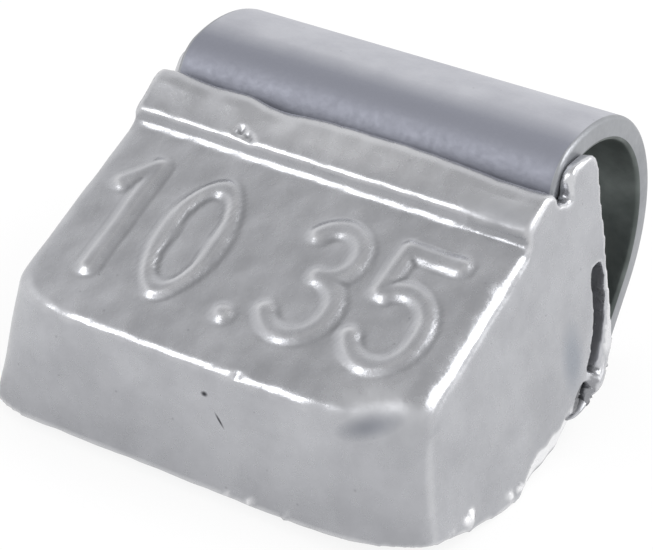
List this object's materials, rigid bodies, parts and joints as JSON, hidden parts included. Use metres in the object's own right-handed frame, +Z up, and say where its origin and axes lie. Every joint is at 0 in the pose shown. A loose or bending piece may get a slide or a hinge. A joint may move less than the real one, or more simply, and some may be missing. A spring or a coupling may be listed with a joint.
{
  "type": "wheel balance weight",
  "caption": "Clip-on wheel balance weight: a drafted cast block with a sloping face, poured round the root of a curled spring clip that hooks over the rim edge.",
  "frame": {"origin": "middle of the footprint, on the plane that the weight lies on", "axes": "+X along the rim, +Y from the front of the casting back to the hook, +Z up"},
  "size_m": [0.0176, 0.017, 0.01],
  "materials": {
    "zinc": "satin",
    "steel": "satin"
  },
  "bodies": {
    "root": {"cast_body": "zinc", "spring_clip": "steel"}
  },
  "joints": []
}
